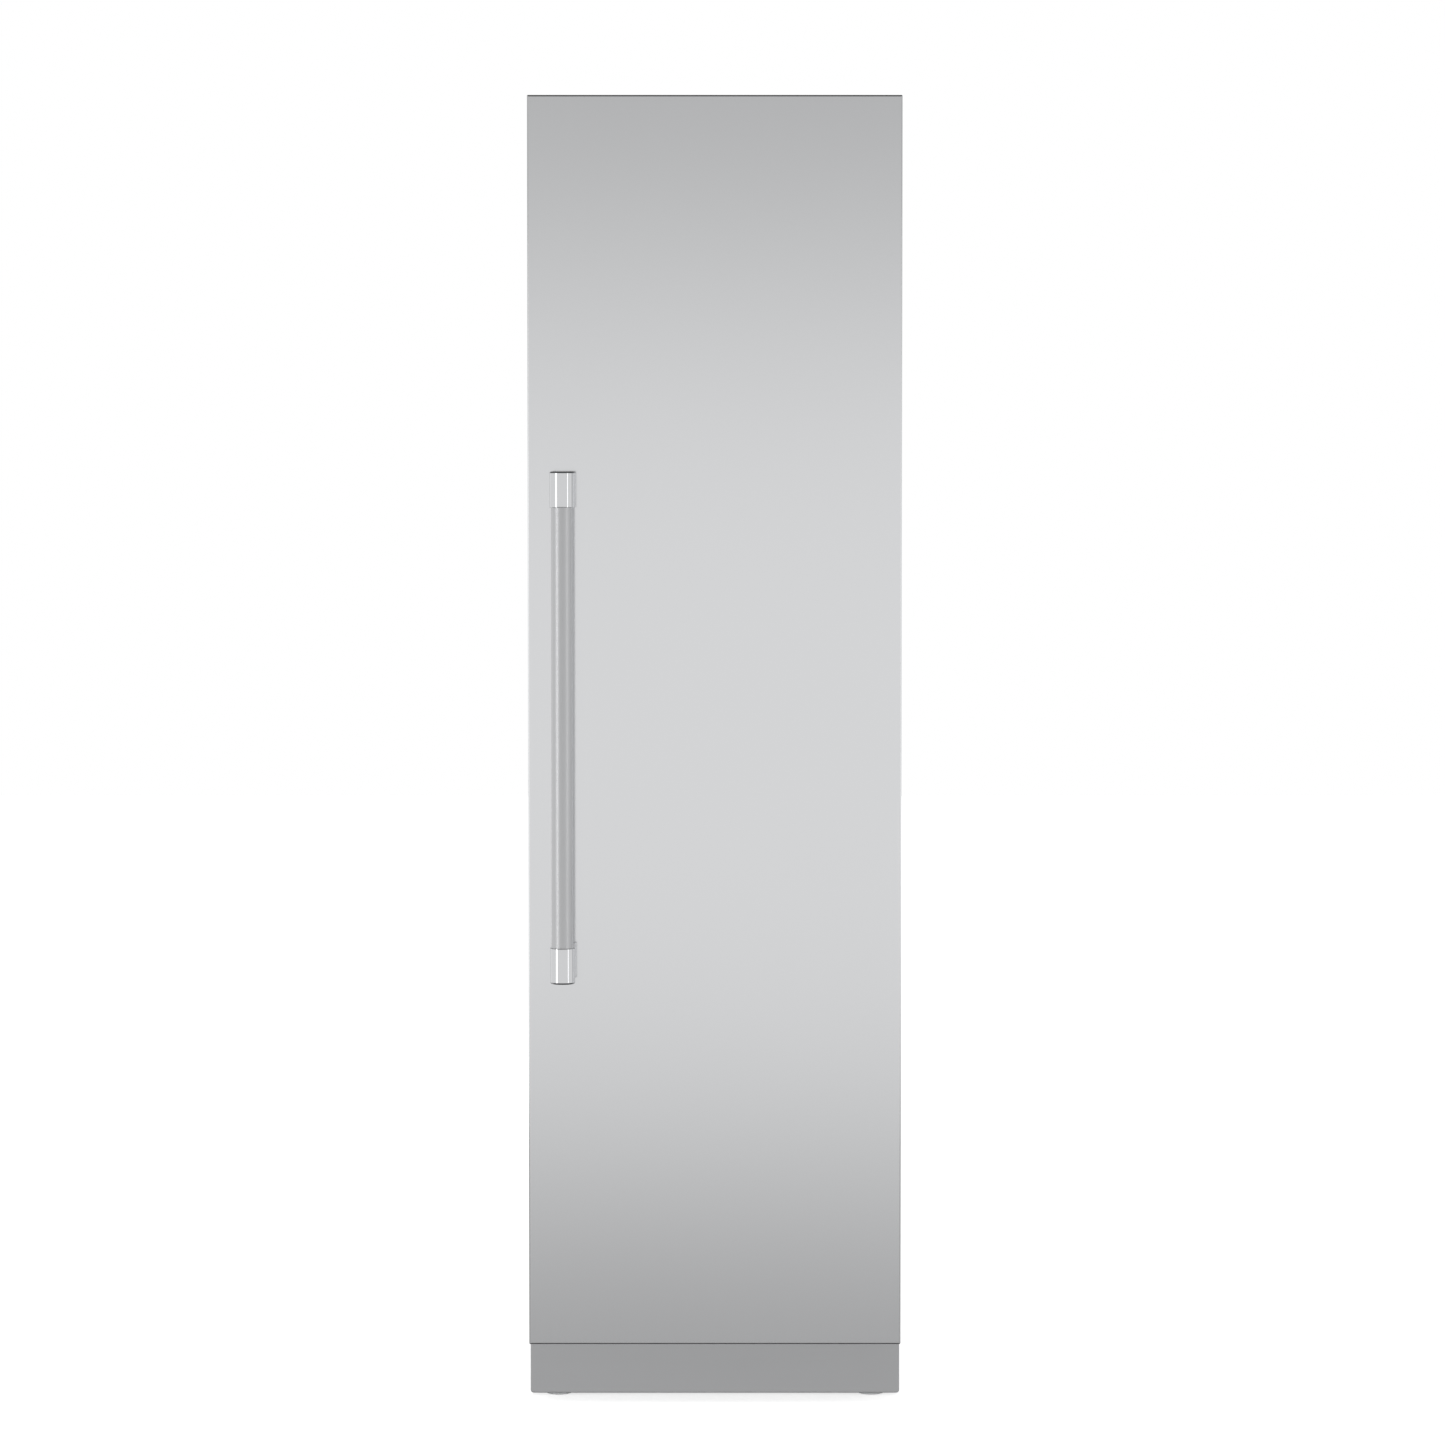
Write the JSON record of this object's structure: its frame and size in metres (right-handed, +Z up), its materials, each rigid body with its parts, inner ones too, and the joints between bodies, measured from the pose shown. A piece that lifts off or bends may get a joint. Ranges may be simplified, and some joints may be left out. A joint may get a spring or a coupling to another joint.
{
  "type": "column refrigerator",
  "caption": "Tall built-in column refrigerator with one flat stainless door, a round bar handle on the left and a plain kickplate.",
  "frame": {"origin": "on the floor, at the centre of the width and of the depth over the handle", "axes": "+Z up, -Y towards the person who opens the door, +X to the right, where the door hinges"},
  "size_m": [0.605, 0.6842, 2.119],
  "materials": {
    "brushed_stainless": "satin, brushed",
    "polished_stainless": "polished",
    "stainless_sheet": "satin, grain across",
    "cabinet_steel": "satin",
    "galvanised_steel": "dull zinc",
    "foam": "matte",
    "liner_white": "soft gloss",
    "gasket_grey": "matte",
    "clear_bin": "clear",
    "white_trim": "soft gloss",
    "shelf_steel": "satin",
    "tempered_glass": "clear",
    "light_lens": "frosted",
    "dark_plastic": "matte",
    "button_grey": "matte",
    "black_paint": "semi gloss",
    "black_rubber": "matte",
    "copper": "dull copper",
    "bare_aluminium": "mill",
    "hinge_steel": "satin",
    "zinc": "zinc plated",
    "nylon": "matte"
  },
  "bodies": {
    "cabinet": {"upper_hinge": "hinge_steel", "lower_hinge": "hinge_steel", "hinge_screws": "zinc", "right_side_panel": "cabinet_steel", "left_side_panel": "cabinet_steel", "top_cover": "cabinet_steel", "back_panel": "galvanised_steel", "cabinet_foam": "foam", "inner_liner": "liner_white", "evaporator_cover": "white_trim", "evaporator_coil": "bare_aluminium", "evaporator_fan_frame": "dark_plastic", "shelf_ladders": "shelf_steel", "shelf_glass": "tempered_glass", "drawer_rails": "white_trim", "crisper_cover_frame": "white_trim", "crisper_cover_glass": "tempered_glass", "control_panel": "white_trim", "ceiling_light_cover": "light_lens", "insulation_deck": "galvanised_steel", "machine_front_cover": "cabinet_steel", "rear_service_cover": "galvanised_steel", "base_frame": "galvanised_steel", "kickplate": "stainless_sheet", "compressor": "black_paint", "compressor_mounts": "black_rubber", "condenser_coil": "copper", "condenser_fan_housing": "dark_plastic", "refrigerant_lines": "copper", "drain_pan": "dark_plastic", "power_inlet": "dark_plastic", "shelf_frame_1": "shelf_steel", "shelf_frame_2": "shelf_steel", "shelf_frame_3": "shelf_steel"},
    "door": {"door_front_panel": "brushed_stainless", "door_outer_pan": "cabinet_steel", "door_foam": "foam", "door_inner_liner": "liner_white", "door_gasket": "gasket_grey", "handle_tube": "brushed_stainless", "handle_lower_bracket": "polished_stainless", "handle_upper_bracket": "polished_stainless", "hinge_bushes": "nylon", "dairy_compartment": "clear_bin", "door_bin_lower": "clear_bin", "door_bin_middle": "clear_bin", "door_bin_upper": "clear_bin"},
    "dairy_lid": {"dairy_lid": "clear_bin"},
    "lower_drawer": {"crisper_drawer_lower": "clear_bin"},
    "upper_drawer": {"crisper_drawer_upper": "clear_bin"},
    "slider": {"humidity_slider": "button_grey"},
    "power_key": {"power_button": "button_grey"},
    "warmer_key": {"warmer_button": "button_grey"},
    "colder_key": {"colder_button": "button_grey"},
    "left_leg": {"front_leg_left": "zinc"},
    "right_leg": {"front_leg_right": "zinc"},
    "left_roller": {"rear_roller_left": "nylon"},
    "right_roller": {"rear_roller_right": "nylon"},
    "cold_fan": {"evaporator_fan_blade": "white_trim"},
    "cooling_fan": {"condenser_fan_blade": "dark_plastic"}
  },
  "joints": [
    {"name": "door_hinge", "type": "hinge", "parent": "cabinet", "child": "door", "pos_m": [0.2775, -0.2279, 0.114], "axis": [0, 0, 1], "range_deg": [0, 105]},
    {"name": "dairy_lid_hinge", "type": "hinge", "parent": "door", "child": "dairy_lid", "pos_m": [0, -0.1206, 1.91254], "axis": [1, 0, 0], "range_deg": [0, 80]},
    {"name": "lower_drawer_slide", "type": "slide", "parent": "cabinet", "child": "lower_drawer", "axis": [0, -1, 0], "range_m": [0, 0.09]},
    {"name": "upper_drawer_slide", "type": "slide", "parent": "cabinet", "child": "upper_drawer", "axis": [0, -1, 0], "range_m": [0, 0.09]},
    {"name": "humidity_slide", "type": "slide", "parent": "cabinet", "child": "slider", "axis": [1, 0, 0], "range_m": [0, 0.04]},
    {"name": "power_press", "type": "slide", "parent": "cabinet", "child": "power_key", "axis": [0, 1, 0], "range_m": [0, 0.0012], "stiffness_N_per_m": 200},
    {"name": "warmer_press", "type": "slide", "parent": "cabinet", "child": "warmer_key", "axis": [0, 1, 0], "range_m": [0, 0.0012], "stiffness_N_per_m": 200},
    {"name": "colder_press", "type": "slide", "parent": "cabinet", "child": "colder_key", "axis": [0, 1, 0], "range_m": [0, 0.0012], "stiffness_N_per_m": 200},
    {"name": "left_leg_screw", "type": "slide", "parent": "cabinet", "child": "left_leg", "axis": [0, 0, -1], "range_m": [0, 0.02]},
    {"name": "right_leg_screw", "type": "slide", "parent": "cabinet", "child": "right_leg", "axis": [0, 0, -1], "range_m": [0, 0.02]},
    {"name": "left_roller_turn", "type": "hinge", "parent": "cabinet", "child": "left_roller", "pos_m": [-0.2525, 0.2921, 0.024], "axis": [1, 0, 0], "continuous": true},
    {"name": "right_roller_turn", "type": "hinge", "parent": "cabinet", "child": "right_roller", "pos_m": [0.2525, 0.2921, 0.024], "axis": [1, 0, 0], "continuous": true},
    {"name": "cold_fan_turn", "type": "hinge", "parent": "cabinet", "child": "cold_fan", "pos_m": [0, 0.2476, 0.615], "axis": [0, 1, 0], "continuous": true},
    {"name": "cooling_fan_turn", "type": "hinge", "parent": "cabinet", "child": "cooling_fan", "pos_m": [-0.15641, -0.0274, 0.127], "axis": [0, 1, 0], "continuous": true}
  ]
}
